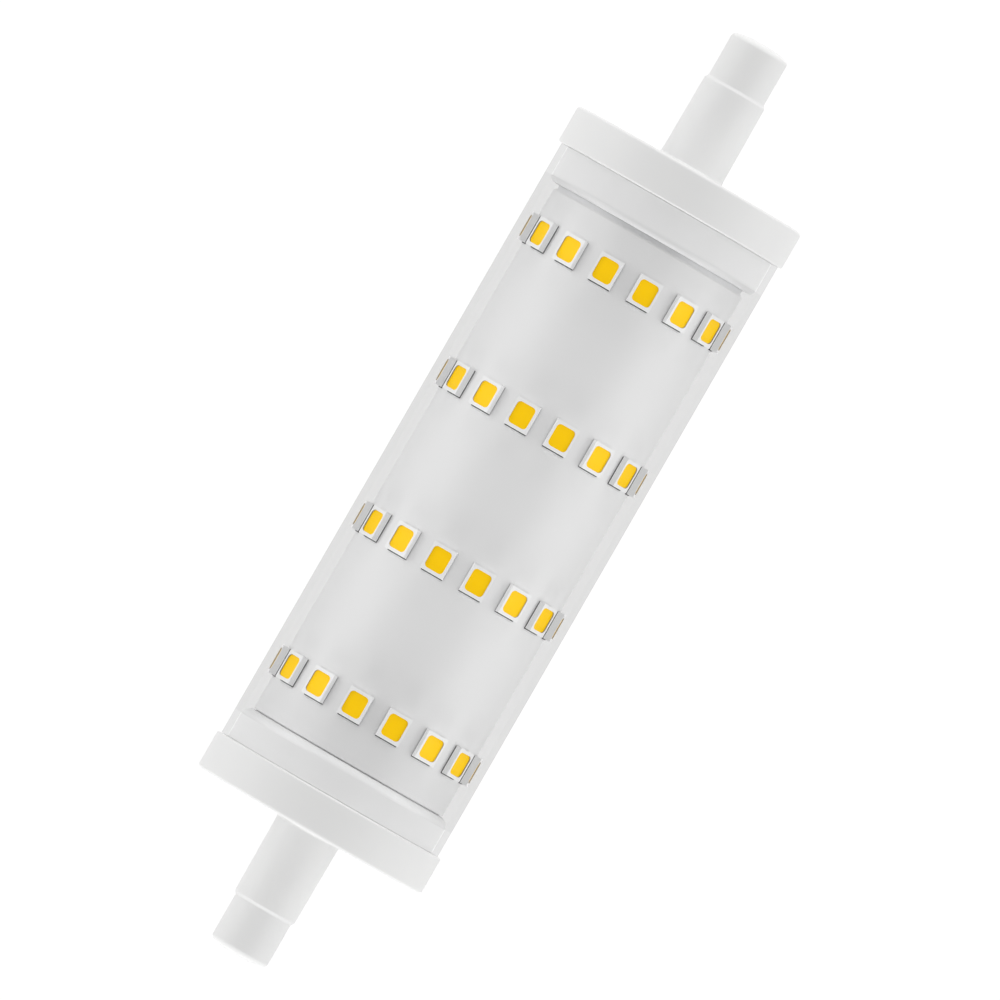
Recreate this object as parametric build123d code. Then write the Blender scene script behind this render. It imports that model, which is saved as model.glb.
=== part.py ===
"""A double-ended linear LED lamp, 118 mm over its two contact ends.

The lamp lies along X, with its middle at the origin and the side without a board seam
facing +Z. A clear tube joins two moulded end caps. Inside it a flexible board with four
rings of LEDs is wrapped round a carrier tube, and the driver sits inside the carrier.
All sizes are in millimetres.
"""

from build123d import *

import os
from math import cos, degrees, hypot, radians, sin, sqrt, tan

os.makedirs("parts", exist_ok=True)

# Length of the lamp, and the stretches of each end cap from its tip inwards
lamp_length = 118.0
tip_length = 5.95
step_length = 0.35
spigot_length = 9.8
flange_crown = 0.15
flange_width = 4.55

# Radii of the end cap
tip_radius = 3.57
tip_dome_radius = 12.8
tip_rim_fillet = 0.45
spigot_radius = 3.85
spigot_draft = 0.08
spigot_root_fillet = 0.3
flange_overhang = 0.45
flange_outer_fillet = 0.4
flange_inner_fillet = 0.2

# How far the plug of each cap reaches into the tube, and the rounding of its end
right_plug_length = 4.3
right_plug_fillet = 0.6
left_plug_length = 4.1
left_plug_fillet = 1.0

# Inside of the end cap
end_wall = 2.3
carrier_grip = 2.2
carrier_ledge = 1.25
core_radius = 2.4
tip_web = 3.2

# Recessed contact in each tip
recess_radius = 1.45
recess_depth = 1.2
contact_head_radius = 1.2
contact_head_height = 0.75
contact_head_fillet = 0.25
contact_shank_radius = 0.8
contact_tail_length = 1.6
contact_clearance = 0.03

# Carrier tube, driver sleeve, flexible board and clear tube
carrier_radius = 11.85
carrier_wall = 1.0
sleeve_wall = 0.3
board_thickness = 0.35
board_seam = 0.8
board_left_gap = 0.15
board_right_gap = 0.5
cover_wall = 0.8
cover_clearance = 0.125

# LED packages
ring_count = 4
leds_per_ring = 16
ring_right_inset = 5.3
ring_left_inset = 6.04
led_width = 2.8
led_length = 3.5
led_height = 0.8
window_width = 2.28
window_length = 2.71
window_corner = 0.35
window_depth = 0.4
phosphor_recess = 0.05

# Fits
glue_gap = 0.05
sliding_gap = 0.15

# Driver board and the rails that hold its ends
driver_thickness = 1.0
driver_setback = 2.4
driver_edge_gap = 0.2
rail_reach = 1.3
rail_web = 1.1
rail_fit = 0.1
part_standoff = 0.3
part_floor_gap = 0.6
lead_radius = 0.3
lead_hole_gap = 0.15
lead_protrusion = 0.8

# Driver parts that hang below the board
varistor_radius = 3.0
varistor_width = 3.5
varistor_pitch = 4.0
film_length = 8.0
film_width = 4.5
film_height = 6.5
film_pitch = 5.0
bulk_radius = 5.0
bulk_length = 14.0
bulk_lead_pitch = 4.0
bulk_lead_room = 2.0
bulk_groove_depth = 0.35
bulk_groove_width = 1.0
bulk_groove_inset = 1.6
choke_radius = 3.5
choke_height = 8.0
choke_core_radius = 1.6
choke_flange = 1.3
winding_margin = 0.4
output_radius = 3.15
output_height = 7.5
output_pitch = 2.5
resistor_radius = 1.5
resistor_length = 8.0
resistor_pitch = 11.0
side_part_offset = 4.8
end_zone = 9.0

# Driver parts on the upper face of the board
bridge_size = (4.7, 3.9, 2.3)
bridge_lead_pitch = 2.5
bridge_lead_width = 0.7
chip_size = (4.9, 3.9, 1.45)
chip_lead_pitch = 1.27
chip_lead_width = 0.4
diode_size = (2.6, 4.3, 2.1)
diode_lead_width = 1.4
chip_resistor_size = (3.2, 1.6, 0.55)
chip_capacitor_size = (2.0, 1.25, 1.0)
lead_sheet = 0.2
foot_length = 0.6

# Wires
mains_wire_radius = 0.65
mains_conductor_radius = 0.32
led_wire_radius = 0.55
led_conductor_radius = 0.25
wire_hole_gap = 0.3
lead_hole_inset = 1.83
lead_spread = 8.0
led_lead_run = 3.5
led_lead_offset = 3.0
mains_hole_inset = 4.5
solder_radius = 0.8
solder_height = 0.55

# Places that follow from the sizes above, measured from the middle of the lamp
tip_end = lamp_length / 2
tip_start = tip_end - tip_length
spigot_end = tip_start - step_length
spigot_root = spigot_end - spigot_length
flange_outer = spigot_root - flange_crown
flange_inner = flange_outer - flange_width
cover_end = flange_inner - glue_gap
cavity_floor = flange_outer - end_wall
recess_floor = tip_end - recess_depth
contact_seat = recess_floor - contact_head_height
core_end = contact_seat - tip_web
right_plug_end = flange_inner - right_plug_length
left_plug_end = flange_inner - left_plug_length
right_seat = right_plug_end + carrier_grip
left_seat = left_plug_end + carrier_grip
driver_end = cavity_floor - driver_setback

board_radius = carrier_radius + board_thickness
led_face_radius = board_radius + led_height
cover_inner_radius = hypot(led_face_radius, led_width / 2) + cover_clearance
cover_radius = cover_inner_radius + cover_wall
plug_radius = cover_inner_radius - glue_gap
flange_radius = cover_radius + flange_overhang
seat_radius = carrier_radius + glue_gap
cavity_radius = carrier_radius - carrier_ledge
carrier_inner_radius = carrier_radius - carrier_wall
sleeve_radius = carrier_inner_radius - sliding_gap
sleeve_inner_radius = sleeve_radius - sleeve_wall

board_right = right_plug_end - board_right_gap
board_left = left_plug_end - board_left_gap
ring_span = board_right + board_left - ring_right_inset - ring_left_inset
ring_pitch = ring_span / (ring_count - 1)
ring_places = [board_right - ring_right_inset - ring_pitch * i for i in range(ring_count)]

# The board of the driver rides as high as its largest part needs
driver_bottom = 2 * bulk_radius + part_standoff + part_floor_gap - sleeve_inner_radius
driver_top = driver_bottom + driver_thickness
driver_half_width = sqrt((sleeve_inner_radius - driver_edge_gap) ** 2 - driver_top**2)

# The parts below the board stand in a row, with equal gaps between them
row_lengths = [
    2 * varistor_radius,
    film_length,
    bulk_lead_room + bulk_length,
    2 * choke_radius,
    2 * output_radius,
]
row_start = end_zone - driver_end
row_end = driver_end - end_zone - led_lead_run
row_gap = (row_end - row_start - sum(row_lengths)) / len(row_lengths)


def row_place(index):
    """Where the part of this number starts along the board."""
    return row_start + sum(row_lengths[:index]) + row_gap * index


varistor_x = row_place(0) + varistor_radius
film_x = row_place(1) + film_length / 2
bulk_start = row_place(2) + bulk_lead_room
choke_x = row_place(3) + choke_radius
output_x = row_place(4) + output_radius
resistor_x = varistor_x + varistor_radius

led_hole_x = board_right - lead_hole_inset
led_lead_x = led_hole_x - led_lead_run
mains_hole_x = driver_end - mains_hole_inset

through_leads = []


def rod(start, end, radius):
    """A round bar along X."""
    return Pos((start + end) / 2, 0, 0) * Rot(0, 90, 0) * Cylinder(radius, end - start)


def pipe(start, end, outer, inner):
    """A tube along X."""
    return rod(start, end, outer) - rod(start, end, inner)


def post(x, y, low, high, radius):
    """A round bar along Z."""
    return Pos(x, y, (low + high) / 2) * Cylinder(radius, high - low)


def block(x, y, z):
    """A box between three pairs of limits."""
    centre = Pos(sum(x) / 2, sum(y) / 2, sum(z) / 2)
    return centre * Box(x[1] - x[0], y[1] - y[0], z[1] - z[0])


def turned(corners):
    """A body turned about X from corners given as (x, radius, fillet)."""
    points = [(x, r) for x, r, _ in corners]
    outline = FilletPolyline(*points, radius=[f for _, _, f in corners], close=True)
    return revolve(make_face(outline), Axis.X)


def closed_edges(shape):
    """The full circles of a turned shape, without its seams."""
    return shape.edges().filter_by(lambda edge: edge.is_closed)


def save(shape, node):
    """Write one node's solids."""
    export_step(shape, f"parts/{node}.step")


# End caps


def crown_drop(radius):
    """How far the domed end has fallen below its apex at this radius."""
    return tip_dome_radius - sqrt(tip_dome_radius**2 - radius**2)


# The recess takes the dome's apex away, so the lamp's length is measured at its mouth
crown_apex = tip_end + crown_drop(recess_radius)
crown_rim = crown_apex - crown_drop(tip_radius)


def cap_tip():
    """The slim domed end that enters the holder."""
    outline = Polyline(
        (crown_apex, 0),
        (spigot_end, 0),
        (spigot_end, tip_radius),
        (crown_rim, tip_radius),
    )
    crown = ThreePointArc(
        (crown_rim, tip_radius),
        (crown_apex - crown_drop(tip_radius / 2), tip_radius / 2),
        (crown_apex, 0),
    )
    tip = revolve(make_face(outline + crown), Axis.X)
    rim = closed_edges(tip).sort_by(Axis.X)[-1]
    return fillet(rim, tip_rim_fillet)


def cap_rails(seat):
    """Two ribs on the cavity's sides, each with a slot that holds the driver board's edge."""
    inner_y = driver_half_width - rail_reach
    low = driver_bottom - rail_web
    high = driver_top + rail_web
    slot_x = (seat - sliding_gap, driver_end + rail_fit)
    slot_y = driver_half_width + rail_fit
    rib = block((seat, cavity_floor), (-cavity_radius, cavity_radius), (low, high))
    rib -= block((seat, cavity_floor), (-inner_y, inner_y), (low, high))
    rib -= block(slot_x, (-slot_y, slot_y), (driver_bottom - rail_fit, driver_top + rail_fit))
    return rib & rod(seat, cavity_floor, cavity_radius)


def end_cap(plug_end, plug_fillet):
    """One moulded cap: plug, flange, tapered spigot and domed tip, hollow inside."""
    seat = plug_end + carrier_grip
    cap = turned(
        [
            (plug_end, 0, 0),
            (plug_end, plug_radius, plug_fillet),
            (flange_inner, plug_radius, 0),
            (flange_inner, flange_radius, flange_inner_fillet),
            (flange_outer, flange_radius, flange_outer_fillet),
            (spigot_root, spigot_radius + spigot_draft, spigot_root_fillet),
            (spigot_end, spigot_radius, 0),
            (tip_start, tip_radius, 0),
            (tip_start, 0, 0),
        ]
    )
    cap += cap_tip()
    cap -= rod(plug_end, seat, seat_radius)
    cap -= rod(seat, cavity_floor, cavity_radius)
    cap -= rod(cavity_floor, core_end, core_radius)
    cap -= rod(core_end, contact_seat, contact_shank_radius + contact_clearance)
    cap -= rod(contact_seat, recess_floor, contact_head_radius + contact_clearance)
    cap -= rod(recess_floor, crown_apex, recess_radius)
    cap += cap_rails(seat)
    return cap


def contact():
    """The button at the bottom of the recess, with a shank and a hollow solder tail."""
    tail_end = core_end - contact_tail_length
    tail_bore = mains_conductor_radius + contact_clearance
    return turned(
        [
            (tail_end, tail_bore, 0),
            (tail_end, contact_shank_radius, 0),
            (contact_seat, contact_shank_radius, 0),
            (contact_seat, contact_head_radius, 0),
            (recess_floor, contact_head_radius, contact_head_fillet),
            (recess_floor, 0, 0),
            (core_end, 0, 0),
            (core_end, tail_bore, 0),
        ]
    )


half_turn = Rot(0, 0, 180)
save(end_cap(right_plug_end, right_plug_fillet), "end_cap_right")
save(half_turn * end_cap(left_plug_end, left_plug_fillet), "end_cap_left")
save(contact(), "contact_right")
save(half_turn * contact(), "contact_left")


# Clear cover, carrier tube and the sleeve round the driver


def along_lead(side, radius):
    """The point at this radius on the line of one LED lead, at the back of the lamp."""
    angle = radians(lead_spread)
    return (led_hole_x, side * radius * sin(angle), -radius * cos(angle))


def lead_bore(side, radius):
    """A radial bore for one LED lead."""
    reach = board_radius + board_thickness
    bore = Pos(led_hole_x, 0, -reach / 2) * Cylinder(radius, reach)
    return Rot(side * lead_spread, 0, 0) * bore


def with_lead_bores(shape, radius):
    """The shape with a bore for each of the two LED leads."""
    for side in (-1, 1):
        shape -= lead_bore(side, radius)
    return shape


wire_bore = led_wire_radius + wire_hole_gap
cover = pipe(-cover_end, cover_end, cover_radius, cover_inner_radius)
carrier_ends = (glue_gap - left_seat, right_seat - glue_gap)
carrier = pipe(*carrier_ends, carrier_radius, carrier_inner_radius)
sleeve = pipe(*carrier_ends, sleeve_radius, sleeve_inner_radius)
save(cover, "clear_cover")
save(with_lead_bores(carrier, wire_bore), "carrier_tube")
save(with_lead_bores(sleeve, wire_bore), "driver_sleeve")


# Flexible board and its LEDs


def flexible_board():
    """A white board wrapped round the carrier, with its seam at the back."""
    seam = degrees(board_seam / board_radius)
    middle = (board_right - board_left) / 2
    section = Pos(middle, carrier_radius + board_thickness / 2) * Rectangle(
        board_right + board_left, board_thickness
    )
    wrapped = revolve(section, Axis.X, 360 - seam)
    wrapped = Rot(seam / 2 - 90, 0, 0) * wrapped
    return with_lead_bores(wrapped, led_conductor_radius + lead_hole_gap)


def window(depth, top):
    """The window of a package, with cut corners, reaching down from this height."""
    outline = Rectangle(window_length, window_width)
    outline = chamfer(outline.vertices(), window_corner)
    return Pos(0, 0, top - depth) * extrude(outline, depth)


def led_package():
    """A white package with the well that holds the phosphor."""
    body = block(
        (-led_length / 2, led_length / 2),
        (-led_width / 2, led_width / 2),
        (board_radius, led_face_radius),
    )
    return body - window(window_depth, led_face_radius)


def led_phosphor():
    """The yellow filling, a little below the rim of its well."""
    return window(window_depth - phosphor_recess, led_face_radius - phosphor_recess)


def ring_of(shape, x):
    """Copies of one LED piece round the board."""
    step = 360 / leds_per_ring
    copies = [Rot(step * (i + 0.5), 0, 0) * Pos(x, 0, 0) * shape for i in range(leds_per_ring)]
    return Compound([copy.solid() for copy in copies])


save(flexible_board(), "led_board")
for number, place in enumerate(ring_places, start=1):
    save(ring_of(led_package(), place), f"led_packages_{number}")
    save(ring_of(led_phosphor(), place), f"led_phosphor_{number}")


# Driver parts below the board


def through_lead(x, y, low):
    """A component lead that goes up through the board."""
    through_leads.append((x, y))
    return post(x, y, low, driver_top + lead_protrusion, lead_radius)


def varistor():
    """A coated disc on two leads."""
    y = side_part_offset
    z = driver_bottom - part_standoff - varistor_radius
    disc = Pos(varistor_x, y, z) * Rot(90, 0, 0) * Cylinder(varistor_radius, varistor_width)
    disc = fillet(closed_edges(disc), varistor_width / 4)
    for side in (-1, 1):
        disc += through_lead(varistor_x + side * varistor_pitch / 2, y, z)
    return disc


def film_capacitor():
    """A boxed film capacitor."""
    y = side_part_offset - film_width / 2
    top = driver_bottom - part_standoff
    body = block(
        (film_x - film_length / 2, film_x + film_length / 2),
        (y - film_width / 2, y + film_width / 2),
        (top - film_height, top),
    )
    for side in (-1, 1):
        body += through_lead(film_x + side * film_pitch / 2, y, top - lead_radius)
    return body


def bent_lead(start_x, end_x, y, z):
    """A lead that leaves a lying body along X and turns up through the board."""
    through_leads.append((end_x, y))
    bend = 2 * lead_radius
    top = driver_top + lead_protrusion
    path = FilletPolyline((start_x, y, z), (end_x, y, z), (end_x, y, top), radius=bend)
    section = Plane(origin=(start_x, y, z), z_dir=(end_x - start_x, 0, 0)) * Circle(lead_radius)
    return sweep(section, path=path)


def bulk_capacitor():
    """The large electrolytic can, lying along the board, with a groove near its seal."""
    z = driver_bottom - part_standoff - bulk_radius
    groove = bulk_start + bulk_groove_inset
    can = rod(bulk_start, bulk_start + bulk_length, bulk_radius)
    can -= pipe(groove, groove + bulk_groove_width, bulk_radius, bulk_radius - bulk_groove_depth)
    can = Pos(0, 0, z) * can
    for side in (-1, 1):
        y = side * bulk_lead_pitch / 2
        can += bent_lead(bulk_start + lead_radius, bulk_start - bulk_lead_room / 2, y, z)
    return can


def choke_core():
    """A ferrite drum that stands on the board."""
    top = driver_bottom - part_standoff
    low = top - choke_height
    core = post(choke_x, 0, low, top, choke_core_radius)
    core += post(choke_x, 0, low, low + choke_flange, choke_radius)
    core += post(choke_x, 0, top - choke_flange, top, choke_radius)
    return core


def choke_winding():
    """The copper winding between the drum's flanges."""
    top = driver_bottom - part_standoff
    low = top - choke_height + choke_flange
    outer = choke_radius - winding_margin
    coil = post(choke_x, 0, low, top - choke_flange, outer)
    coil -= post(choke_x, 0, low, top - choke_flange, choke_core_radius)
    return coil


def choke_pins():
    """The two pins that hold the drum on the board."""
    pins = []
    for side in (-1, 1):
        pins.append(through_lead(choke_x + side * choke_radius / 2, 0, driver_bottom - part_standoff))
    return pins


def output_capacitor():
    """A small electrolytic can that stands on its leads."""
    top = driver_bottom - part_standoff
    low = top - output_height
    can = post(output_x, 0, low, top, output_radius)
    can = fillet(closed_edges(can).sort_by(Axis.Z)[0], lead_radius)
    for side in (-1, 1):
        can += through_lead(output_x, side * output_pitch / 2, top - lead_radius)
    return can


def fusible_resistor():
    """A wire-wound resistor beside the varistor, with its leads bent up."""
    y = -side_part_offset
    z = driver_bottom - part_standoff - resistor_radius
    half = resistor_length / 2
    body = Pos(0, y, z) * rod(resistor_x - half, resistor_x + half, resistor_radius)
    body = fillet(closed_edges(body), resistor_radius / 3)
    for side in (-1, 1):
        inner = resistor_x + side * (half - lead_radius)
        body += bent_lead(inner, resistor_x + side * resistor_pitch / 2, y, z)
    return body


save(varistor(), "varistor")
save(film_capacitor(), "film_capacitor")
save(bulk_capacitor(), "bulk_capacitor")
core_on_pins = choke_core()
for pin in choke_pins():
    core_on_pins += pin
save(core_on_pins, "choke_core")
save(choke_winding(), "choke_winding")
save(output_capacitor(), "output_capacitor")
save(fusible_resistor(), "fusible_resistor")


# Driver parts on top of the board


def gull_lead(width):
    """A flat lead that drops from a body's side to the board, built at +Y."""
    outline = Polyline(
        (0, lead_sheet * 3),
        (foot_length, lead_sheet * 3),
        (foot_length, lead_sheet),
        (2 * foot_length, lead_sheet),
        (2 * foot_length, 0),
        (foot_length - lead_sheet, 0),
        (foot_length - lead_sheet, lead_sheet * 2),
        (0, lead_sheet * 2),
        (0, lead_sheet * 3),
    )
    return Plane.YZ * Pos(0, 0, -width / 2) * extrude(make_face(outline), width)


def leaded_body(size, leads_per_side, pitch, lead_width):
    """A moulded body with a row of flat leads on two sides."""
    length, width, height = size
    body = block(
        (-length / 2, length / 2),
        (-width / 2, width / 2),
        (lead_sheet, height),
    )
    first = -pitch * (leads_per_side - 1) / 2
    for i in range(leads_per_side):
        lead = Pos(first + pitch * i, width / 2, 0) * gull_lead(lead_width)
        body += lead
        body += half_turn * lead
    return body


def chip_body(size):
    """A small chip part that lies flat on the board."""
    length, width, height = size
    return block((-length / 2, length / 2), (-width / 2, width / 2), (0, height))


on_board = Pos(0, 0, driver_top)
bridge_x = bulk_start + bridge_size[0] / 2
chip_x = bulk_start + bulk_length - chip_size[0]
diode_x = (choke_x + output_x) / 2
chip_side = driver_half_width / 2 + chip_resistor_size[1]
bridge = leaded_body(bridge_size, 2, bridge_lead_pitch, bridge_lead_width)
chip = leaded_body(chip_size, 4, chip_lead_pitch, chip_lead_width)
diode = Rot(0, 0, 90) * leaded_body(diode_size, 1, 0, diode_lead_width)
save(on_board * Pos(bridge_x, 0, 0) * bridge, "bridge_rectifier")
save(on_board * Pos(chip_x, 0, 0) * chip, "driver_chip")
save(on_board * Pos(diode_x, chip_side / 2, 0) * diode, "freewheel_diode")

resistor_places = [
    (chip_x - chip_size[0], chip_side),
    (chip_x, chip_side),
    (chip_x + chip_size[0], chip_side),
    (chip_x - chip_size[0], -chip_side),
    (chip_x, -chip_side),
    (chip_x + chip_size[0], -chip_side),
]
capacitor_places = [
    (bridge_x - bridge_size[0], chip_side),
    (chip_x + chip_size[0], 0),
]


def chips_at(places, size):
    """Equal chip parts at several places on the board."""
    body = chip_body(size)
    return Compound([(on_board * Pos(x, y, 0) * body).solid() for x, y in places])


save(chips_at(resistor_places, chip_resistor_size), "chip_resistors")
save(chips_at(capacitor_places, chip_capacitor_size), "chip_capacitors")


# Wires, as large arcs between their ends


def bend_radii(points):
    """The radius at each inner point: 0.45 of the shorter run over the tangent of half the turn."""
    radii = []
    for before, here, after in zip(points, points[1:], points[2:]):
        arriving = Vector(*here) - Vector(*before)
        leaving = Vector(*after) - Vector(*here)
        half = radians(arriving.get_angle(leaving)) / 2
        radii.append(0.45 * min(arriving.length, leaving.length) / tan(half))
    return radii


def swept(points, radii, radius):
    """A round wire along filleted runs."""
    path = FilletPolyline(*points, radius=radii)
    start = Plane(origin=path @ 0, z_dir=path % 0)
    return sweep(start * Circle(radius), path=path)


def toward(start, end, distance):
    """The point this far from start on the way to end."""
    way = Vector(*end) - Vector(*start)
    return tuple(Vector(*start) + way.normalized() * distance)


def insulated_wire(points, bare_start, bare_end, wire_radius, conductor_radius):
    """A wire whose conductor stands bare at both ends."""
    cover_points = list(points)
    cover_points[0] = toward(points[0], points[1], bare_start)
    cover_points[-1] = toward(points[-1], points[-2], bare_end)
    radii = bend_radii(cover_points)
    print("wire bends", [round(r, 2) for r in radii])
    wire = swept(cover_points, radii, wire_radius)
    return wire + swept(points, radii, conductor_radius)


def mains_lead():
    """From the contact's tail, through the spigot, over the end of the driver board."""
    tail_end = core_end - contact_tail_length
    above = driver_top + 5 * mains_wire_radius
    points = [
        (core_end - contact_clearance, 0, 0),
        (cavity_floor, 0, 0),
        (driver_end, 0, above),
        (mains_hole_x, 0, above),
        (mains_hole_x, 0, driver_bottom - lead_protrusion),
    ]
    bare_start = core_end - tail_end + glue_gap
    bare_end = driver_thickness + lead_protrusion + part_standoff
    through_leads.append((mains_hole_x, 0))
    return insulated_wire(points, bare_start, bare_end, mains_wire_radius, mains_conductor_radius)


def led_lead(side):
    """From the driver board, down and out through the carrier, to the flexible board."""
    y = side * led_lead_offset
    top = driver_top + lead_protrusion
    inner = sleeve_inner_radius - 3 * led_wire_radius
    end = board_radius + solder_height / 2
    points = [
        (led_lead_x, y, top),
        (led_lead_x, y, driver_bottom - led_lead_run),
        along_lead(side, inner),
        along_lead(side, end),
    ]
    bare_start = top - driver_bottom + glue_gap
    bare_end = end - carrier_radius + glue_gap
    through_leads.append((led_lead_x, y))
    return insulated_wire(points, bare_start, bare_end, led_wire_radius, led_conductor_radius)


def solder_joints():
    """A dome of solder over each LED lead, on the outside of the flexible board."""
    sphere = (solder_radius**2 + solder_height**2) / (2 * solder_height)
    middle = board_radius + solder_height - sphere
    joints = []
    for side in (-1, 1):
        dome = Pos(*along_lead(side, middle)) * Sphere(sphere)
        dome -= rod(led_hole_x - led_length, led_hole_x + led_length, board_radius)
        end = board_radius + solder_height / 2
        pin = Pos(led_hole_x, 0, -end / 2) * Cylinder(led_conductor_radius, end)
        dome -= Rot(side * lead_spread, 0, 0) * pin
        joints.append(dome.solid())
    return Compound(joints)


save(mains_lead(), "mains_lead_right")
save(half_turn * mains_lead(), "mains_lead_left")
save(led_lead(1), "led_lead_positive")
save(led_lead(-1), "led_lead_negative")
save(solder_joints(), "lead_solder_joints")


# Driver board, drilled for every lead that passes through it


def driver_board():
    """A long board whose edges follow the inside of the sleeve."""
    board = block(
        (-driver_end, driver_end),
        (-driver_half_width, driver_half_width),
        (driver_bottom, driver_top),
    )
    places = set(through_leads)
    places.add((-mains_hole_x, 0))
    for x, y in sorted(places):
        board -= post(x, y, driver_bottom, driver_top, lead_radius + lead_hole_gap)
    return board


save(driver_board(), "driver_board")
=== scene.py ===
import math

import bmesh
import bpy
from mathutils import Matrix, Vector


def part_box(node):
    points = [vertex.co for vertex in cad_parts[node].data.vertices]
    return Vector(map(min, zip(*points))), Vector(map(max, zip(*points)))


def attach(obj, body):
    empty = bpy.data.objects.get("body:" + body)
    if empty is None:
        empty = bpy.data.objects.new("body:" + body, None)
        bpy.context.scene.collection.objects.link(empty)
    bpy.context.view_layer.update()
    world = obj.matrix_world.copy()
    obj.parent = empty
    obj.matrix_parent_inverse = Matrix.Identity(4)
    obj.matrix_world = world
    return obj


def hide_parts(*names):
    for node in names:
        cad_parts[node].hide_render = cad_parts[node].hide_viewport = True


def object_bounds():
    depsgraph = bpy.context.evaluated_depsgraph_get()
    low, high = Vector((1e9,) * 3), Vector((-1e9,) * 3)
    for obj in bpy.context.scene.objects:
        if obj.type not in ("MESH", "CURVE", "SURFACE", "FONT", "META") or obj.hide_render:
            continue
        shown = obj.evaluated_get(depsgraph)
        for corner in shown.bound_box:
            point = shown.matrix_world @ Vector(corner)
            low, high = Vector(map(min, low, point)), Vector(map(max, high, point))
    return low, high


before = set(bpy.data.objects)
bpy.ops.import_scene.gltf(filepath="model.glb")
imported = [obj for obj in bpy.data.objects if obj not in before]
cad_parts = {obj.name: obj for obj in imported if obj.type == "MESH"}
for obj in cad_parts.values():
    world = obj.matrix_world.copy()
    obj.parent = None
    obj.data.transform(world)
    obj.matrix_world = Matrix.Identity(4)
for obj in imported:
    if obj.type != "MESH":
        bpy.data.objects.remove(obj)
cad_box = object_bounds()
scene = bpy.context.scene


# Carrier tube
# A drawn aluminium tube that everything inside the clear tube is built on. Only its outer
# face shows, in the narrow gap that the flexible board leaves at the right end. Its two
# bores for leads lie under the board, so this mesh goes without them.
MM = 0.001
full_turn = 2 * math.pi
sharp_angle = math.radians(32)
merge_distance = 1e-7
rounding_steps = 5

low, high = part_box("carrier_tube")
carrier_radius = high.z
carrier_wall = 1.0 * MM


class Socket:
    """The output of a shader node, used in plain arithmetic."""

    def __init__(self, tree, output):
        self.tree = tree
        self.output = output

    def maths(self, operation, *values):
        """A Math node on these values, in the tree of this socket."""
        node = self.tree.nodes.new("ShaderNodeMath")
        node.operation = operation
        for socket, value in zip(node.inputs, values):
            feed(self.tree, socket, value)
        return Socket(self.tree, node.outputs[0])

    def __add__(self, other):
        return self.maths("ADD", self, other)

    def __radd__(self, other):
        return self.maths("ADD", other, self)

    def __sub__(self, other):
        return self.maths("SUBTRACT", self, other)

    def __rsub__(self, other):
        return self.maths("SUBTRACT", other, self)

    def __mul__(self, other):
        return self.maths("MULTIPLY", self, other)

    def __rmul__(self, other):
        return self.maths("MULTIPLY", other, self)

    def __pow__(self, other):
        return self.maths("POWER", self, other)

    def __gt__(self, other):
        return self.maths("GREATER_THAN", self, other)

    def largest(self, other):
        return self.maths("MAXIMUM", self, other)


def feed(tree, socket, value):
    """Links a Socket, or sets a plain value."""
    if isinstance(value, Socket):
        tree.links.new(value.output, socket)
    elif socket.type == "RGBA" and not isinstance(value, (int, float)):
        socket.default_value = (*value[:3], 1)
    else:
        socket.default_value = value


class Finish:
    """A material, or the world, under construction."""

    def __init__(self, name, owner=None):
        self.owner = owner or bpy.data.materials.new(name)
        self.owner.use_nodes = True
        self.tree = self.owner.node_tree
        self.tree.nodes.clear()

    def node(self, kind, settings=(), result=0, **inputs):
        """One node, its settings first. A double underscore in an input's name is a space."""
        node = self.tree.nodes.new(kind)
        for key, value in dict(settings).items():
            setattr(node, key, value)
        for name, value in inputs.items():
            name = name.replace("__", " ")
            socket = node.inputs[int(name[2:])] if name.startswith("in") else node.inputs[name]
            feed(self.tree, socket, value)
        return Socket(self.tree, node.outputs[result] if node.outputs else None)

    def place(self):
        """Object coordinates, in metres."""
        return self.node("ShaderNodeTexCoord", result="Object")

    def parts(self, vector):
        """The three parts of a vector."""
        outputs = self.node("ShaderNodeSeparateXYZ", Vector=vector).output.node.outputs
        return [Socket(self.tree, output) for output in outputs]

    def noise(self, size, detail=2.0, rough=0.5):
        """Noise from 0 to 1 whose features are about this large."""
        return self.node(
            "ShaderNodeTexNoise", Vector=self.place(), Scale=1 / size, Detail=detail, Roughness=rough
        )

    def blend(self, factor, first, second):
        """A colour between two colours."""
        return self.node(
            "ShaderNodeMix", {"data_type": "RGBA"}, result=2, in0=factor, in6=first, in7=second
        )

    def ramp(self, value, low, high, first=0.0, last=1.0):
        """A smooth step from one value to another between two limits."""
        return self.node(
            "ShaderNodeMapRange", {"interpolation_type": "SMOOTHSTEP"},
            Value=value, From__Min=low, From__Max=high, To__Min=first, To__Max=last,
        )

    def bump(self, height, distance):
        return self.node("ShaderNodeBump", Height=height, Distance=distance)

    def end(self, shader, output="ShaderNodeOutputMaterial"):
        """The material or the world, complete with its output."""
        self.node(output, Surface=shader)
        return self.owner

    def surface(self, **inputs):
        """The material, complete with one Principled shader."""
        return self.end(self.node("ShaderNodeBsdfPrincipled", **inputs))


def srgb(red, green, blue):
    """A colour given as it looks on a screen, from 0 to 255, as linear light."""
    screen = [level / 255 for level in (red, green, blue)]
    return tuple(((c + 0.055) / 1.055) ** 2.4 if c > 0.04045 else c / 12.92 for c in screen)


def finished(name, mesh, *materials):
    """An object from a bmesh, with its materials, smooth apart from its sharp edges."""
    data = bpy.data.meshes.new(name)
    mesh.to_mesh(data)
    mesh.free()
    for material in materials:
        data.materials.append(material)
    data.shade_smooth()
    data.set_sharp_from_angle(angle=sharp_angle)
    piece = bpy.data.objects.new(name, data)
    scene.collection.objects.link(piece)
    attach(piece, "root")
    return piece


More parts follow.
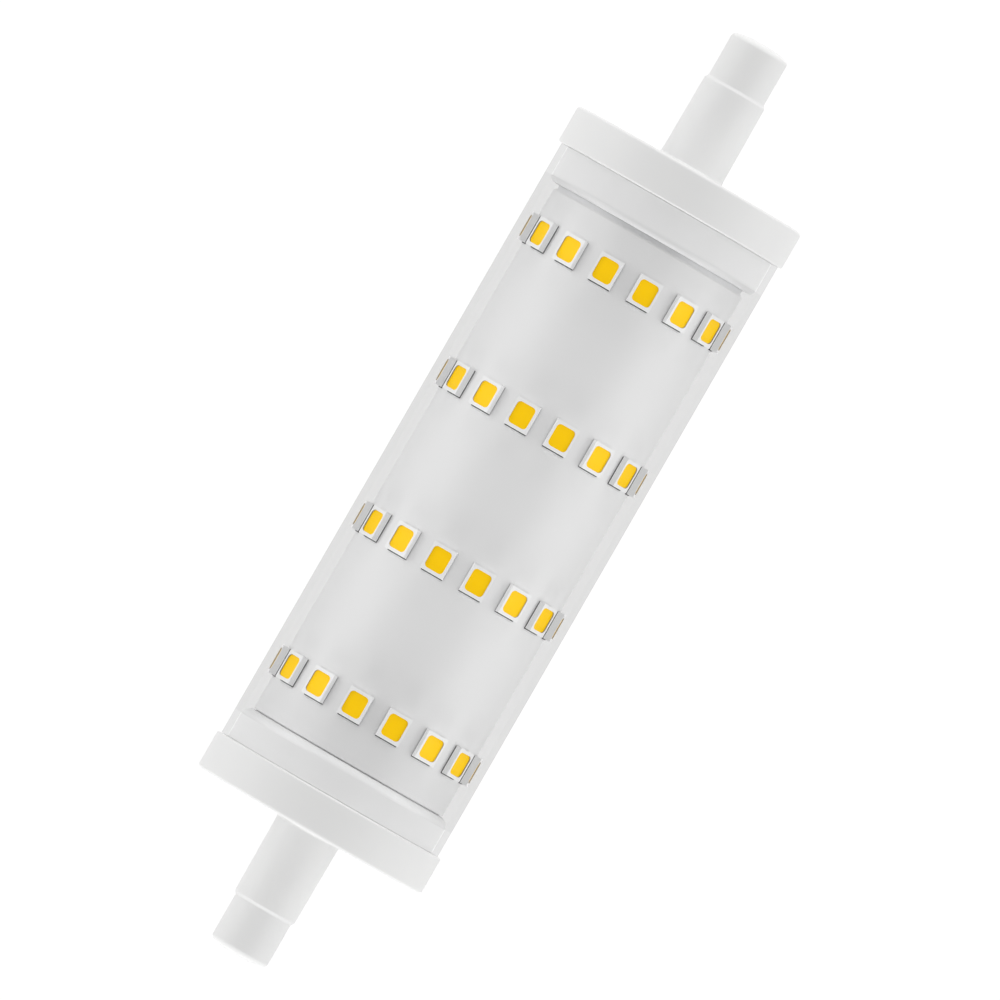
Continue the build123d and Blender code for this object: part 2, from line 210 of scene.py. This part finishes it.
def lathe(outline, facets=160, sweep=full_turn, start=0.0):
    """A body turned about X from a closed outline of (x, radius, rounding) corners."""
    mesh = bmesh.new()
    corners = [mesh.verts.new((x, radius, 0)) for x, radius, _ in outline]
    for here, after in zip(corners, corners[1:] + corners[:1]):
        mesh.edges.new((here, after))
    for corner, (_, _, rounding) in zip(corners, outline):
        if rounding:
            bmesh.ops.bevel(
                mesh, geom=[corner], affect="VERTICES", offset=rounding, segments=rounding_steps,
                profile=0.5, material=-1, offset_type="OFFSET",
            )
    bmesh.ops.rotate(mesh, verts=mesh.verts, matrix=Matrix.Rotation(start, 3, "X"))
    whole = sweep == full_turn
    bmesh.ops.spin(
        mesh, geom=mesh.verts[:] + mesh.edges[:], axis=(1, 0, 0), cent=(0, 0, 0), dvec=(0, 0, 0),
        angle=sweep, steps=facets, use_merge=whole, use_duplicate=False,
    )
    bmesh.ops.remove_doubles(mesh, verts=mesh.verts, dist=merge_distance)
    if not whole:
        bmesh.ops.holes_fill(mesh, edges=[e for e in mesh.edges if e.is_boundary], sides=0)
    bmesh.ops.recalc_face_normals(mesh, faces=mesh.faces)
    return mesh


def drawn_aluminium():
    """Bright metal with fine lines along the tube."""
    m = Finish("drawn_aluminium")
    along = m.node("ShaderNodeMapping", Vector=m.place(), Scale=(60, 2500, 2500))
    lines = m.node("ShaderNodeTexNoise", Vector=along, Scale=1.0, Detail=2.0)
    return m.surface(
        Base__Color=m.blend(lines, srgb(228, 229, 230), srgb(238, 238, 239)),
        Metallic=0.25,
        Roughness=0.5 + 0.16 * lines,
        Normal=m.bump(lines, distance=0.01 * MM),
    )


carrier = finished(
    "drawn_carrier",
    lathe(
        [
            (low.x, carrier_radius, 0),
            (high.x, carrier_radius, 0),
            (high.x, carrier_radius - carrier_wall, 0),
            (low.x, carrier_radius - carrier_wall, 0),
        ]
    ),
    drawn_aluminium(),
)
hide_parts("carrier_tube")


# Driver
# The board that feeds the LEDs, inside an insulating sleeve in the carrier. Its parts are
# bought in and soldered on. They keep the shapes they have in the model, and each kind gets
# the finish of its own body: dipped coating, shrunk sleeve, moulded epoxy or bare ferrite.
coating_shade = 0.82
coating_unevenness = 0.12
coating_relief = 0.01 * MM


def coated(name, colour, roughness, grain=0.6 * MM, metallic=0.0):
    """A plain coated or moulded finish, slightly uneven in colour and surface."""
    m = Finish(name)
    mottle = m.noise(grain, detail=3.0)
    darker = tuple(coating_shade * c for c in colour)
    return m.surface(
        Base__Color=m.blend(mottle, darker, colour),
        Metallic=metallic,
        Roughness=roughness + coating_unevenness * (mottle - 0.5),
        Normal=m.bump(mottle, coating_relief),
    )


driver_finishes = {
    coated("sleeve_film", srgb(214, 216, 210), 0.4): ["driver_sleeve"],
    coated("green_laminate", srgb(34, 96, 52), 0.35): ["driver_board"],
    coated("cement_coating", srgb(88, 132, 116), 0.7): ["fusible_resistor"],
    coated("blue_dip", srgb(26, 58, 128), 0.35): ["varistor"],
    coated("film_case", srgb(198, 158, 46), 0.45): ["film_capacitor"],
    coated("can_sleeve", srgb(24, 26, 32), 0.3): ["bulk_capacitor", "output_capacitor"],
    coated("sintered_ferrite", srgb(38, 38, 42), 0.6, grain=0.3 * MM): ["choke_core"],
    coated("enamelled_copper", srgb(176, 88, 44), 0.3, metallic=0.85): ["choke_winding"],
    coated("moulded_epoxy", srgb(26, 26, 27), 0.55, grain=0.2 * MM): [
        "bridge_rectifier", "driver_chip", "freewheel_diode",
    ],
    coated("chip_ceramic", srgb(116, 96, 78), 0.5): ["chip_resistors", "chip_capacitors"],
    coated("white_insulation", srgb(226, 226, 220), 0.4): ["mains_lead_right", "mains_lead_left"],
    coated("red_insulation", srgb(176, 28, 22), 0.4): ["led_lead_positive"],
    coated("black_insulation", srgb(22, 22, 24), 0.4): ["led_lead_negative"],
    coated("bright_solder", srgb(190, 192, 196), 0.22, grain=0.5 * MM, metallic=0.95): [
        "lead_solder_joints",
    ],
    coated("nickel_plate", srgb(198, 192, 178), 0.25, grain=0.8 * MM, metallic=1.0): [
        "contact_right", "contact_left",
    ],
}
for material, names in driver_finishes.items():
    for name in names:
        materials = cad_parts[name].data.materials
        materials.clear()
        materials.append(material)


# Flexible board
# A thin white board, wrapped once round the carrier and glued to it. Its two long edges meet
# at the back with a narrow seam, and its right end stops short of the cap. There its base
# film reaches a little past the layers on top of it.
low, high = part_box("led_board")
board_radius = high.z
board_rounding = 0.03 * MM
board_seam = 0.8 * MM
seam_angle = board_seam / board_radius
film_reach = 0.2 * MM
film_radius = carrier_radius + 0.15 * MM


def white_mask():
    """White solder mask: even, a little glossy, with a faint fine grain in its surface."""
    m = Finish("white_mask")
    cloud = m.noise(9 * MM)
    grain = m.noise(0.12 * MM)
    return m.surface(
        Base__Color=m.blend(cloud, srgb(230, 230, 230), srgb(234, 234, 234)),
        Roughness=0.5 + 0.1 * (grain - 0.5),
        Specular__IOR__Level=0.3,
        Normal=m.bump(grain, distance=0.002 * MM),
    )


board = finished(
    "wrapped_board",
    lathe(
        [
            (low.x, board_radius, board_rounding),
            (high.x - film_reach, board_radius, board_rounding),
            (high.x - film_reach, film_radius, 0),
            (high.x, film_radius, board_rounding),
            (high.x, carrier_radius, 0),
            (low.x, carrier_radius, 0),
        ],
        sweep=full_turn - seam_angle,
        start=(seam_angle - math.pi) / 2,
    ),
    white_mask(),
)
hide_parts("led_board")


# LEDs
# White moulded housings on a thin layer of solder, sixteen to a ring round the board. Each has a well
# with rounded corners, its walls painted grey as shade, filled a little below its rim with yellow
# phosphor in clear silicone that glows with painted light. Their terminals are soldered below and
# reach out at the left, painted dark as the shade under the housings and as a shadow line at their
# left ends.
leds_per_ring = 16
led_width = 2.8 * MM
led_length = 3.5 * MM
led_height = 0.72 * MM
window_width = 2.3 * MM
window_length = 2.71 * MM
window_rounding = 0.46 * MM
corner_steps = 4
well_depth = 0.4 * MM
filling_drop = 0.12 * MM
dip_insets = (0.1 * MM, 0.35 * MM)
dip_sinks = (0.012 * MM, 0.02 * MM)
solder_gap = 0.06 * MM
terminal_inset = 0.06 * MM
terminal_and_shadow_reach = 0.1 * MM
terminal_bed = 0.09 * MM


def housing_white():
    """Bright white moulding compound."""
    m = Finish("housing_white")
    grain = m.noise(0.2 * MM)
    return m.surface(
        Base__Color=m.blend(grain, srgb(241, 241, 241), srgb(247, 247, 247)),
        Roughness=0.42 + 0.1 * (grain - 0.5),
        Specular__IOR__Level=0.4,
    )


def shaded_wall():
    """The walls of the wells: white moulding painted grey as painted shade."""
    m = Finish("shaded_wall")
    grain = m.noise(0.2 * MM)
    return m.surface(
        Base__Color=m.blend(grain, srgb(158, 158, 162), srgb(170, 170, 173)),
        Roughness=0.5,
    )


def dull_solder():
    """Tin over the terminals, dulled by flux and painted near black as the shade under the housings.
    """
    m = Finish("dull_solder")
    grain = m.noise(0.1 * MM, detail=3.0, rough=0.6)
    return m.surface(
        Base__Color=m.blend(grain, srgb(44, 44, 46), srgb(60, 60, 62)),
        Metallic=0.3,
        Roughness=0.55 + 0.2 * (grain - 0.5),
        Normal=m.bump(grain, distance=0.004 * MM),
    )


def phosphor_yellow():
    """Phosphor grains in silicone, which turn blue light into yellow. Its steady glow is painted
    light.
    """
    m = Finish("phosphor_yellow")
    grains = m.noise(0.16 * MM, detail=3.0, rough=0.6)
    return m.surface(
        Base__Color=m.blend(grains, srgb(246, 199, 0), srgb(255, 209, 0)),
        Roughness=0.25 + 0.1 * (grains - 0.5),
        Specular__IOR__Level=0.12,
        # Painted light: a steady yellow glow, lit or not
        Emission__Color=srgb(255, 192, 0),
        Emission__Strength=0.165,
        Normal=m.bump(grains, distance=0.004 * MM),
    )


def block(size, base):
    """A box of this size that stands on this height, centred on the Z axis."""
    mesh = bmesh.new()
    bmesh.ops.create_cube(mesh, size=1)
    bmesh.ops.scale(mesh, verts=mesh.verts, vec=size)
    bmesh.ops.translate(mesh, verts=mesh.verts, vec=(0, 0, base + size[2] / 2))
    return mesh


def top_face(mesh):
    """The highest face."""
    return max(mesh.faces, key=lambda face: face.calc_center_median().z)


def shrink_inwards(mesh, face, thickness):
    """Leaves a rim of this width round the face, which is then what is inside the rim."""
    bmesh.ops.inset_region(mesh, faces=[face], thickness=thickness, use_even_offset=True)


def upright_edges(mesh, floor):
    """The edges along Z that are above this height from end to end."""
    return [
        e for e in mesh.edges
        if abs((e.verts[0].co - e.verts[1].co).normalized().z) > 0.99
        and min(v.co.z for v in e.verts) > floor
    ]


def round_corners(mesh, floor):
    """Rounds the corners of a well or its filling, where they are above this height."""
    bmesh.ops.bevel(
        mesh, geom=upright_edges(mesh, floor), affect="EDGES", offset=window_rounding,
        segments=corner_steps, profile=0.5, material=-1,
    )


def housing(base):
    """One housing, a little clear of the board, with a round-cornered well sunk into its top."""
    mesh = block((led_length, led_width, led_height - solder_gap), base + solder_gap)
    rim = (led_width - window_width) / 2
    opening = top_face(mesh)
    shrink_inwards(mesh, opening, rim)
    stretch = window_length / (led_length - 2 * rim)
    bmesh.ops.scale(mesh, verts=opening.verts, vec=(stretch, 1, 1))
    well_floor = bmesh.ops.extrude_discrete_faces(mesh, faces=[opening])["faces"][0]
    bmesh.ops.translate(mesh, verts=well_floor.verts, vec=(0, 0, -well_depth))
    round_corners(mesh, floor=base + led_height - 1.5 * well_depth)
    # The faces of the well, which stay clear of the housing's ends, get its second material, the grey
    # of painted shade.
    inside = led_length / 2 - 0.01 * MM
    for face in mesh.faces:
        face.material_index = int(all(abs(v.co.x) < inside for v in face.verts))
    bmesh.ops.recalc_face_normals(mesh, faces=mesh.faces)
    return mesh


def terminals(base):
    """The soldered terminals that fill the gap under one housing and reach past its left end. Their
    dark colour is painted shade under the housing, and the strip past its left end is a painted
    shadow line.

    The board falls away below their sides, so they reach down into it by their bed.
    """
    length = led_length - terminal_inset + terminal_and_shadow_reach
    width = led_width - 2 * terminal_inset
    mesh = block((length, width, terminal_bed + solder_gap), base - terminal_bed)
    shift = -(terminal_inset + terminal_and_shadow_reach) / 2
    bmesh.ops.translate(mesh, verts=mesh.verts, vec=(shift, 0, 0))
    return mesh


def filling(base):
    """The phosphor in one well, with a shallow dip where the silicone shrank."""
    depth = well_depth - filling_drop
    mesh = block((window_length, window_width, depth), base + led_height - well_depth)
    round_corners(mesh, floor=0)
    top = top_face(mesh)
    for inset, sink in zip(dip_insets, dip_sinks):
        shrink_inwards(mesh, top, inset)
        bmesh.ops.translate(mesh, verts=top.verts, vec=(0, 0, -sink))
    bmesh.ops.recalc_face_normals(mesh, faces=mesh.faces)
    return mesh


def round_the_board(mesh, x):
    """Moves one LED piece to its ring and repeats it round the board."""
    pitch = full_turn / leds_per_ring
    bmesh.ops.translate(mesh, verts=mesh.verts, vec=(x, 0, 0))
    bmesh.ops.rotate(mesh, verts=mesh.verts, matrix=Matrix.Rotation(pitch / 2, 3, "X"))
    copies = leds_per_ring - 1
    bmesh.ops.spin(
        mesh, geom=mesh.verts[:] + mesh.edges[:] + mesh.faces[:], axis=(1, 0, 0), cent=(0, 0, 0),
        dvec=(0, 0, 0), angle=pitch * copies, steps=copies, use_duplicate=True, use_merge=False,
    )
    return mesh


housing_material = housing_white()
well_painted_shade = shaded_wall()
phosphor_with_painted_glow = phosphor_yellow()
terminal_painted_shade = dull_solder()
ring = 1
while f"led_packages_{ring}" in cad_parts:
    low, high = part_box(f"led_packages_{ring}")
    ring_x = (low.x + high.x) / 2
    housings = finished(
        f"led_housings_{ring}",
        round_the_board(housing(board_radius), ring_x),
        housing_material,
        well_painted_shade,
    )
    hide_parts(f"led_packages_{ring}")
    fillings = finished(
        f"led_fillings_{ring}",
        round_the_board(filling(board_radius), ring_x),
        phosphor_with_painted_glow,
    )
    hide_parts(f"led_phosphor_{ring}")
    # Dark terminals: painted shade under the housings and a painted shadow line at their left ends
    joints = finished(
        f"led_terminals_{ring}",
        round_the_board(terminals(board_radius), ring_x),
        terminal_painted_shade,
    )
    ring += 1


# Clear tube
# A plain length of clear tube, sawn square, that closes the lamp. Both caps plug into it and
# it ends against their flanges. Its wall is thin, so it shows mostly by its reflections and
# by the light it takes where it is looked through at a slant.
low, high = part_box("clear_cover")
cover_radius = high.z
cover_end = high.x
cover_wall = 0.8 * MM
cover_facets = 224
bore_radius = cover_radius - cover_wall
# Past these the plugs are at their full width, up to the flanges
left_plug_limit = -35.1 * MM
right_plug_limit = 34.5 * MM
sawn_depth = 0.1 * MM
glass_index = 1.5
white = (1, 1, 1)
glass_grey = (0.857, 0.857, 0.857)
# A slant is 0 where a wall is looked at square and 1 where it is looked along. At the slant
# of the bore, a straight line of sight through the tube's face just touches the bore.
bore_slant = 1 - math.sqrt(1 - (bore_radius / cover_radius) ** 2)
grazing_slant = 0.5


def seen(m, *names):
    """1 for the kinds of ray with these names and 0 for the rest."""
    outputs = m.node("ShaderNodeLightPath").output.node.outputs
    kinds = [Socket(m.tree, outputs[name]) for name in names]
    result = kinds[0]
    for kind in kinds[1:]:
        result = result.largest(kind)
    return result


def clear_wall():
    """Clear glass: it bends what is seen through it, is greyer at a slant, and lets light in.

    At the tube's edge past the bore, at its sawn ends, and where the bore is met from within
    the wall at a slant, it is looked through straight. Bent rays are caught in the wall there
    and come out black.
    """
    m = Finish("clear_wall")
    x, y, z = m.parts(m.place())
    outer = (y * y + z * z) > (cover_radius - cover_wall / 2) ** 2
    bore = 1 - outer
    over_plug = (x > right_plug_limit).largest((0 - x) > -left_plug_limit)
    clear_of_plugs = 1 - over_plug
    slant = m.node("ShaderNodeLayerWeight", result="Facing", Blend=0.5)
    from_within = m.node("ShaderNodeNewGeometry", result="Backfacing")
    from_outside = 1 - from_within

    # Over the plugs the grey starts at a smaller slant and stays weaker.
    grey_from = 0.1 - 0.08 * over_plug
    grey_to = 0.55 - 0.43 * over_plug
    greyest = 1 - 0.55 * over_plug
    entering = m.ramp(slant, grey_from, grey_to, last=greyest) * outer * from_outside
    leaving = m.ramp(slant, 0.5, 0.6) * bore * clear_of_plugs
    past_bore = outer * (slant > bore_slant)
    grazing = bore * from_within * (slant > grazing_slant)
    sawn_end = x.largest(0 - x) > cover_end - sawn_depth

    clear = m.node("ShaderNodeBsdfTransparent", Color=white)
    grey = m.node("ShaderNodeBsdfTransparent", Color=glass_grey)
    bent_clear = m.node("ShaderNodeBsdfRefraction", Color=white, Roughness=0.0, IOR=glass_index)
    bent_grey = m.node("ShaderNodeBsdfRefraction", Color=glass_grey, Roughness=0.0, IOR=glass_index)
    bent = m.node("ShaderNodeMixShader", Fac=entering.largest(leaving), in1=bent_clear, in2=bent_grey)
    straight = m.node("ShaderNodeMixShader", Fac=0.15 * over_plug, in1=grey, in2=clear)
    unbent = past_bore.largest(grazing).largest(sawn_end)
    seen_wall = m.node("ShaderNodeMixShader", Fac=unbent, in1=bent, in2=straight)
    looked_through = seen(m, "Is Camera Ray", "Is Transmission Ray")
    wall = m.node("ShaderNodeMixShader", Fac=looked_through, in1=clear, in2=seen_wall)
    gloss = m.node("ShaderNodeBsdfGlossy", Color=white, Roughness=0.06)
    shine = 0.035 * (1 - slant) ** 5.0 * outer * from_outside
    return m.end(m.node("ShaderNodeMixShader", Fac=shine, in1=wall, in2=gloss))


cover = finished(
    "clear_tube",
    lathe(
        [
            (low.x, cover_radius, 0),
            (high.x, cover_radius, 0),
            (high.x, bore_radius, 0),
            (low.x, bore_radius, 0),
        ],
        facets=cover_facets,
    ),
    clear_wall(),
)
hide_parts("clear_cover")


# End caps
# Two white mouldings, alike but for the length of their plugs. Each plugs into the clear tube
# and carries the end of the carrier. Its flange closes the tube, and its spigot goes into the
# holder, where a plunger reaches the contact in the recess of the domed tip.
tip_length = 5.95 * MM
tip_radius = 3.57 * MM
tip_rounding = 0.45 * MM
tip_dome_radius = 12.8 * MM
dome_points = 10
dome_start = 3
step_length = 0.35 * MM
step_rounding = 0.1 * MM
spigot_length = 9.8 * MM
spigot_radius = 3.85 * MM
spigot_draft = 0.08 * MM
root_fillet = 0.3 * MM
flange_crown = 0.15 * MM
flange_width = 4.55 * MM
flange_outer_rounding = 0.4 * MM
flange_inner_rounding = 0.2 * MM
recess_radius = 1.45 * MM
recess_depth = 1.2 * MM
recess_rounding = 0.08 * MM
button_radius = 1.23 * MM
button_height = 0.75 * MM
shank_radius = 0.83 * MM
shank_length = 3.2 * MM
core_radius = 2.4 * MM
end_wall = 2.3 * MM
carrier_grip = 2.2 * MM
carrier_ledge = 1.25 * MM
fit_gap = 0.05 * MM
# Over this reach the painted shade at the end of each plug fades into the plug's painted light
plug_painted_shade_start = 34.3 * MM
plug_painted_shade_end = 34.9 * MM


def moulded_white():
    """White thermoplastic with the fine even grain of an eroded mould. Inside the tube its plugs are
    painted a lighter white as painted light, fading to a darker white at their ends as painted shade.
    """
    m = Finish("moulded_white")
    cloud = m.noise(7 * MM)
    along = m.parts(m.place())[0]
    reach = along.largest(0 - along)
    # Painted light and shade: inside the tube the plugs are a lighter white, darker towards their
    # ends
    on_plug = 1 - (reach > cover_end)
    plug_end_painted_shade = m.ramp(reach, plug_painted_shade_start, plug_painted_shade_end)
    outside = m.blend(cloud, srgb(228, 228, 228), srgb(233, 233, 232))
    plug_painted_light_and_shade = m.blend(plug_end_painted_shade, srgb(222, 222, 222), srgb(235, 235, 235))
    grain = m.noise(0.16 * MM, detail=3.0, rough=0.6)
    return m.surface(
        Base__Color=m.blend(on_plug, outside, plug_painted_light_and_shade),
        Roughness=0.46 + 0.14 * (grain - 0.5),
        Specular__IOR__Level=0.35,
        Normal=m.bump(grain, distance=0.003 * MM),
    )


def dome_fall(radius):
    """How far the dome of a tip has fallen from its apex at this radius."""
    return tip_dome_radius - math.sqrt(tip_dome_radius**2 - radius**2)


def cap_outline(tip_end, flange_radius, plug_length, plug_rounding):
    """The half section of a cap, round its outside from the plug to the tip and back inside."""
    spigot_end = tip_end - tip_length - step_length
    root = spigot_end - spigot_length
    flange_outer = root - flange_crown
    flange_inner = flange_outer - flange_width
    plug_end = flange_inner - plug_length
    seat = plug_end + carrier_grip
    floor = flange_outer - end_wall
    recess_floor = tip_end - recess_depth
    button_seat = recess_floor - button_height
    core_end = button_seat - shank_length
    plug_radius = bore_radius - fit_gap
    seat_radius = carrier_radius + fit_gap
    cavity_radius = carrier_radius - carrier_ledge
    apex = tip_end + dome_fall(recess_radius)
    # The rounding of the tip's edge takes the place of the dome's first points.
    dome = []
    for i in range(dome_start, dome_points):
        radius = tip_radius + (recess_radius - tip_radius) * i / dome_points
        dome.append((apex - dome_fall(radius), radius, 0))
    return [
        (plug_end, seat_radius, 0),
        (plug_end, plug_radius, plug_rounding),
        (flange_inner, plug_radius, 0),
        (flange_inner, flange_radius, flange_inner_rounding),
        (flange_outer, flange_radius, flange_outer_rounding),
        (root, spigot_radius + spigot_draft, root_fillet),
        (spigot_end, spigot_radius, step_rounding),
        (spigot_end + step_length, tip_radius, step_rounding),
        (apex - dome_fall(tip_radius), tip_radius, tip_rounding),
        *dome,
        (tip_end, recess_radius, recess_rounding),
        (recess_floor, recess_radius, 0),
        (recess_floor, button_radius, 0),
        (button_seat, button_radius, 0),
        (button_seat, shank_radius, 0),
        (core_end, shank_radius, 0),
        (core_end, core_radius, 0),
        (floor, core_radius, 0),
        (floor, cavity_radius, 0),
        (seat, cavity_radius, 0),
        (seat, seat_radius, 0),
    ]


cap_material = moulded_white()
# Node, piece, length and rounding of the plug, and the turn that faces the cap its own way
caps = (
    ("end_cap_right", "right_cap", 4.3 * MM, 0.6 * MM, 0.0),
    ("end_cap_left", "left_cap", 4.1 * MM, 1.0 * MM, math.pi),
)
for node, name, plug_length, plug_rounding, facing in caps:
    low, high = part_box(node)
    tip_end = max(-low.x, high.x)
    mesh = lathe(cap_outline(tip_end, high.z, plug_length, plug_rounding), facets=cover_facets)
    bmesh.ops.rotate(mesh, verts=mesh.verts, matrix=Matrix.Rotation(facing, 3, "Z"))
    cap = finished(name, mesh, cap_material)
    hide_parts(node)


# Table, light and camera
# The lamp lies on a white table and is looked at from straight above, as in the picture,
# with a long lens. Two soft lights stand at its sides and one beyond each end.
table_radius = 5.0
table_facets = 96
light_distance = 2.0
side_panel = (3.0, 0.9)
end_panel = (1.6, 0.4)
lean = math.radians(30)
picture_pixels = 1000
lamp_pixels = 1052
lens = 1000
camera_offset = 0.045 * MM
farthest_seen = 60


def white_table():
    """A white table. The camera, gloss and glass see it as the white backdrop."""
    m = Finish("white_table")
    plain = m.node("ShaderNodeBsdfDiffuse", Color=(0.8, 0.8, 0.8))
    shaded = m.node("ShaderNodeBsdfDiffuse", Color=(0.22, 0.22, 0.22))
    lit = m.node("ShaderNodeEmission", Color=white, Strength=0.86)
    backdrop = m.node("ShaderNodeAddShader", in0=shaded, in1=lit)
    looked_at = seen(m, "Is Camera Ray", "Is Glossy Ray", "Is Transmission Ray")
    return m.end(m.node("ShaderNodeMixShader", Fac=looked_at, in1=plain, in2=backdrop))


mesh = bmesh.new()
bmesh.ops.create_circle(mesh, cap_ends=True, segments=table_facets, radius=table_radius)
bmesh.ops.translate(mesh, verts=mesh.verts, vec=(0, 0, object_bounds()[0].z))
data = bpy.data.meshes.new("table")
mesh.to_mesh(data)
mesh.free()
data.materials.append(white_table())
table = bpy.data.objects.new("table", data)
scene.collection.objects.link(table)


def studio():
    """A grey-white room, a little lighter towards the right end, that looks white.

    Gloss sees it white all round and dark overhead.
    """
    m = Finish("studio", bpy.data.worlds.new("studio"))
    along, across, height = m.parts(m.node("ShaderNodeTexCoord", result="Generated"))
    room = 0.69 + 0.2 * along
    overhead = m.ramp(height, 0.55, 0.9, first=1.0, last=0.1)
    looked_at = seen(m, "Is Camera Ray", "Is Transmission Ray")
    mirrored = seen(m, "Is Glossy Ray") * (1 - looked_at)
    strength = room + looked_at * (1 - room) + mirrored * (overhead - room)
    background = m.node("ShaderNodeBackground", Color=white, Strength=strength)
    return m.end(background, "ShaderNodeOutputWorld")


scene.world = studio()

# Name, direction from the lamp, width and height in metres, and power in watts
soft_lights = (
    ("left_light", (0.0, 1.0, 0.2), side_panel, 12.4),
    ("right_light", (0.0, -1.0, 0.2), side_panel, 12.4),
    ("upper_light", (1.0, 0.0, 0.1), end_panel, 14.0),
    ("lower_light", (-1.0, 0.0, 0.1), end_panel, 23.0),
)
for name, direction, panel, power in soft_lights:
    data = bpy.data.lights.new(name, "AREA")
    data.shape = "RECTANGLE"
    data.size, data.size_y = panel
    data.energy = power
    light = bpy.data.objects.new(name, data)
    towards = Vector(direction).normalized()
    light.location = towards * light_distance
    light.rotation_euler = towards.to_track_quat("Z", "Y").to_euler()
    light.visible_glossy = False
    scene.collection.objects.link(light)

camera_data = bpy.data.cameras.new("camera")
camera_data.lens = lens
camera_data.clip_end = farthest_seen
view_width = (cad_box[1].x - cad_box[0].x) * picture_pixels / lamp_pixels
camera = bpy.data.objects.new("camera", camera_data)
camera.location = (0, -camera_offset, view_width * lens / camera_data.sensor_width)
camera.rotation_euler = (0, 0, lean - math.pi / 2)
scene.collection.objects.link(camera)
scene.camera = camera
scene.view_settings.view_transform = "Standard"
